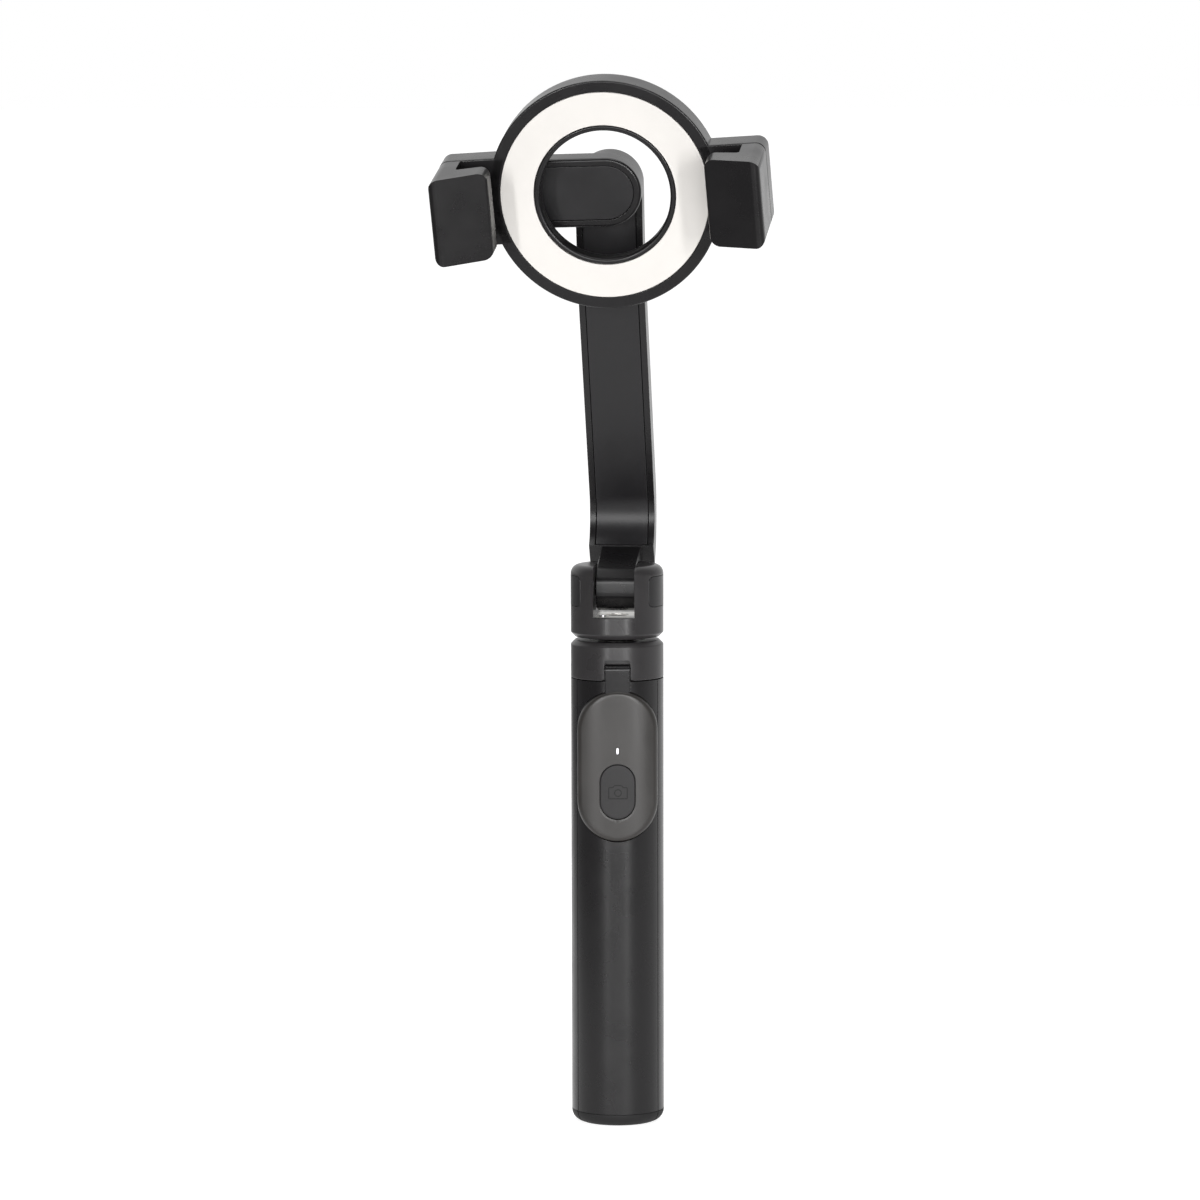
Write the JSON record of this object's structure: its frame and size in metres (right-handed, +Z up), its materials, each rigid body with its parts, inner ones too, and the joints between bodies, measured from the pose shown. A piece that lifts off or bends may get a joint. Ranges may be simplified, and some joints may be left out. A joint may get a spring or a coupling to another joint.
{
  "type": "selfie stick",
  "caption": "Telescopic selfie stick whose handle opens into a tripod, with a folding curved arm, magnetic phone ring, sliding side jaws and a pull-off remote.",
  "frame": {"origin": "middle of the underside of the closed handle, level with the rubber feet", "axes": "+Z up along the handle, -Y to the front where the remote sits, +X to the viewer's right"},
  "size_m": [0.0989, 0.1047, 0.3127],
  "materials": {
    "black_plastic": "satin moulded",
    "dark_cover": "satin moulded",
    "remote_plastic": "satin moulded",
    "foot_rubber": "soft matt",
    "white_bush": "natural nylon",
    "base_plastic": "moulded",
    "tube_metal": "anodised",
    "pin_steel": "plain",
    "plate_bright": "polished",
    "magnet_metal": "plated",
    "face_silver": "satin silver",
    "sleeve_brass": "plain",
    "board_green": "solder mask",
    "lamp_white": "clear white"
  },
  "bodies": {
    "hub": {"leg_collar": "black_plastic", "collar_bush": "white_bush", "outer_tube": "tube_metal", "tube_plug": "base_plastic", "leg_pins": "pin_steel"},
    "front_leg": {"leg_front": "black_plastic", "foot_front": "foot_rubber", "dock_magnet": "magnet_metal"},
    "left_leg": {"leg_left": "black_plastic", "foot_left": "foot_rubber"},
    "right_leg": {"leg_right": "black_plastic", "foot_right": "foot_rubber"},
    "remote": {"remote_base": "remote_plastic", "remote_top": "remote_plastic", "remote_board": "board_green", "remote_cell": "pin_steel", "remote_switch": "pin_steel", "remote_led": "lamp_white", "remote_screws": "pin_steel"},
    "shutter": {"shutter_button": "remote_plastic"},
    "section_1": {"pole_1": "tube_metal", "bush_1": "white_bush"},
    "section_2": {"pole_2": "tube_metal", "bush_2": "white_bush"},
    "section_3": {"pole_3": "tube_metal", "bush_3": "white_bush"},
    "section_4": {"pole_4": "tube_metal", "bush_4": "white_bush", "pole_cap": "tube_metal", "swivel_bolt": "pin_steel"},
    "clevis": {"clevis": "black_plastic", "slot_plate": "plate_bright", "plate_screw": "pin_steel", "ear_cover_left": "dark_cover", "ear_cover_right": "dark_cover", "hinge_pin": "pin_steel"},
    "arm": {"arm_frame": "black_plastic", "arm_cover": "dark_cover", "arm_cap": "dark_cover", "barrel_sleeve": "sleeve_brass"},
    "bracket": {"bracket": "black_plastic", "bracket_cover": "dark_cover", "swivel_rivet": "pin_steel", "swivel_washer": "pin_steel", "tilt_pin": "pin_steel"},
    "ring": {"ring_body": "black_plastic", "ring_back": "dark_cover", "ring_face": "face_silver", "ring_magnets": "magnet_metal", "ring_shunt": "pin_steel", "ring_screws": "pin_steel"},
    "left_jaw": {"jaw_left": "black_plastic", "jaw_left_liner": "foot_rubber", "jaw_left_slide": "pin_steel", "jaw_left_brake": "foot_rubber"},
    "right_jaw": {"jaw_right": "black_plastic", "jaw_right_liner": "foot_rubber", "jaw_right_slide": "pin_steel", "jaw_right_brake": "foot_rubber"}
  },
  "joints": [
    {"name": "front_leg_fold", "type": "hinge", "parent": "hub", "child": "front_leg", "pos_m": [0, -0.0122, 0.1369], "axis": [1, 0, 0], "range_deg": [-60, 0]},
    {"name": "left_leg_fold", "type": "hinge", "parent": "hub", "child": "left_leg", "pos_m": [-0.01057, 0.0061, 0.1369], "axis": [-0.5, -0.866, 0], "range_deg": [-60, 0]},
    {"name": "right_leg_fold", "type": "hinge", "parent": "hub", "child": "right_leg", "pos_m": [0.01057, 0.0061, 0.1369], "axis": [-0.5, 0.866, 0], "range_deg": [-60, 0]},
    {"name": "remote_pull", "type": "slide", "parent": "front_leg", "child": "remote", "axis": [0, 1, 0], "range_m": [-0.03, 0]},
    {"name": "shutter_press", "type": "slide", "parent": "remote", "child": "shutter", "axis": [0, 1, 0], "range_m": [0, 0.0005], "stiffness_N_per_m": 400, "springref_m": -0.001},
    {"name": "section_1_slide", "type": "slide", "parent": "hub", "child": "section_1", "axis": [0, 0, 1], "range_m": [0, 0.118]},
    {"name": "section_2_slide", "type": "slide", "parent": "section_1", "child": "section_2", "axis": [0, 0, 1], "range_m": [0, 0.118]},
    {"name": "section_3_slide", "type": "slide", "parent": "section_2", "child": "section_3", "axis": [0, 0, 1], "range_m": [0, 0.118]},
    {"name": "section_4_slide", "type": "slide", "parent": "section_3", "child": "section_4", "axis": [0, 0, 1], "range_m": [0, 0.118]},
    {"name": "clevis_swivel", "type": "hinge", "parent": "section_4", "child": "clevis", "pos_m": [0, 0, 0.15], "axis": [0, 0, 1], "continuous": true},
    {"name": "arm_fold", "type": "hinge", "parent": "clevis", "child": "arm", "pos_m": [0, 0, 0.1599], "axis": [0.9962, -0.0872, 0], "range_deg": [-30, 130]},
    {"name": "bracket_turn", "type": "hinge", "parent": "arm", "child": "bracket", "pos_m": [-0.00275, -0.03138, 0.27929], "axis": [0.085, 0.9714, 0.2215], "continuous": true},
    {"name": "ring_tilt", "type": "hinge", "parent": "bracket", "child": "ring", "pos_m": [-0.0317, -0.02975, 0.2783], "axis": [-0.0454, -0.2183, 0.9748], "range_deg": [-85, 1.6]},
    {"name": "left_jaw_slide", "type": "slide", "parent": "ring", "child": "left_jaw", "axis": [-0.9898, 0.129, -0.0601], "range_m": [-0.007, 0]},
    {"name": "right_jaw_slide", "type": "slide", "parent": "ring", "child": "right_jaw", "axis": [0.9898, -0.129, 0.0601], "range_m": [-0.007, 0]}
  ]
}
